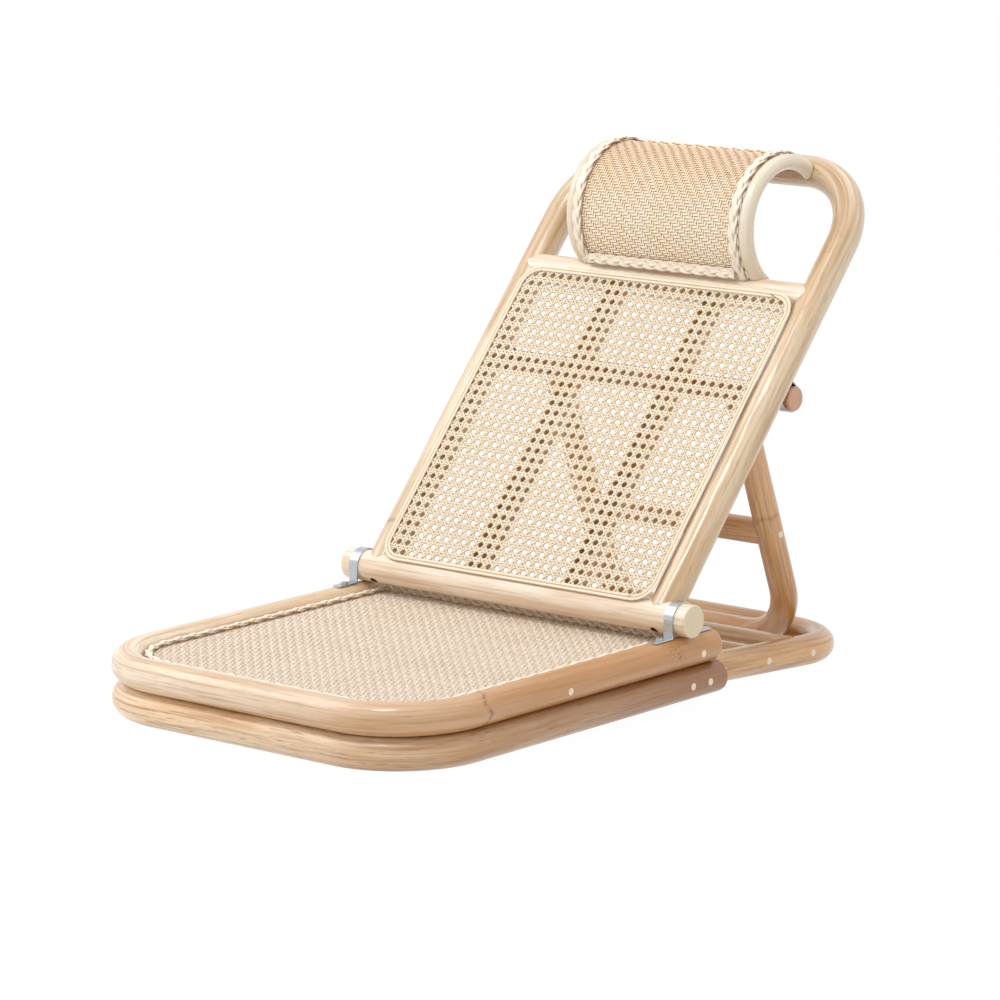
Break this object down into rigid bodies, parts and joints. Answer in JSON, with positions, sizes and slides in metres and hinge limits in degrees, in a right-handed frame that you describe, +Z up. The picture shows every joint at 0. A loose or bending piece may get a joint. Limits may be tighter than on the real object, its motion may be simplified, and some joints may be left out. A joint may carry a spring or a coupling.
{
  "type": "folding floor lounge chair",
  "caption": "Legless folding rattan floor lounge chair: woven seat in a bent-pole base, hinged caned back with a woven head roll, and a swing-out stand that props it.",
  "frame": {"origin": "centre of the footprint, on the floor", "axes": "+Z up, +Y from the front bar to the rear bar, +X to the right hand of someone looking at the back from the front; the chair is mirror symmetric about X = 0"},
  "size_m": [0.498, 0.843, 0.5773],
  "materials": {
    "pole_tan": "honey rattan under clear gloss lacquer",
    "pole_light": "pale rattan under clear gloss lacquer",
    "hoop_cream": "cream rattan, satin lacquer",
    "stand_tan": "warm tan rattan, satin lacquer",
    "pin_wood": "plain pale wood",
    "cane": "natural cane, satin",
    "seat_weave": "fine split-rattan weave, matte",
    "head_weave": "split-rattan twill weave, satin",
    "braid": "plaited cane, satin",
    "strap_steel": "bright zinc-plated steel",
    "screw_steel": "bright zinc-plated steel"
  },
  "bodies": {
    "base": {"base_front_frame": "pole_tan", "seat_frame": "pole_tan", "base_rear_frame": "pole_tan", "base_rail_front": "pole_tan", "base_rail_middle": "pole_tan", "base_rail_rear": "pole_tan", "seat_mid_rail": "pole_tan", "seat_rear_rail": "pole_tan", "seat_weave": "seat_weave", "seat_braid_rim": "braid", "seat_braid_rear": "braid", "hinge_strap_left": "strap_steel", "hinge_strap_right": "strap_steel", "hinge_strap_screws": "screw_steel", "frame_screws": "screw_steel", "lap_pins": "pin_wood", "base_rail_pins": "pin_wood", "seat_rail_pins": "pin_wood"},
    "back": {"back_frame": "pole_light", "hinge_roller": "pole_light", "back_top_rail": "pole_light", "back_slat_left": "pole_light", "back_slat_right": "pole_light", "cane_panel": "cane", "cane_edging": "cane", "roller_screws": "screw_steel", "top_rail_dowels": "pin_wood", "head_hoop_left": "hoop_cream", "head_hoop_right": "hoop_cream", "hoop_screws": "screw_steel", "head_weave": "head_weave", "head_braid_left": "braid", "head_braid_right": "braid", "head_braid_bottom": "braid", "head_braid_top": "braid", "stand_strap_left": "strap_steel", "stand_strap_right": "strap_steel", "stand_strap_screws": "screw_steel"},
    "stand": {"stand_frame": "stand_tan", "stand_dowel": "stand_tan", "stand_crossbar": "stand_tan", "crossbar_pins": "pin_wood", "stand_dowel_screws": "screw_steel"}
  },
  "joints": [
    {"name": "back_fold", "type": "hinge", "parent": "base", "child": "back", "pos_m": [0, 0.03332, 0.10216], "axis": [1, 0, 0], "range_deg": [0, 120]},
    {"name": "stand_fold", "type": "hinge", "parent": "back", "child": "stand", "pos_m": [0, 0.25262, 0.31606], "axis": [1, 0, 0], "range_deg": [-60, 0]}
  ],
  "couplings": [
    {"joint": "stand_fold", "follows": "back_fold", "ratio": -0.5}
  ]
}
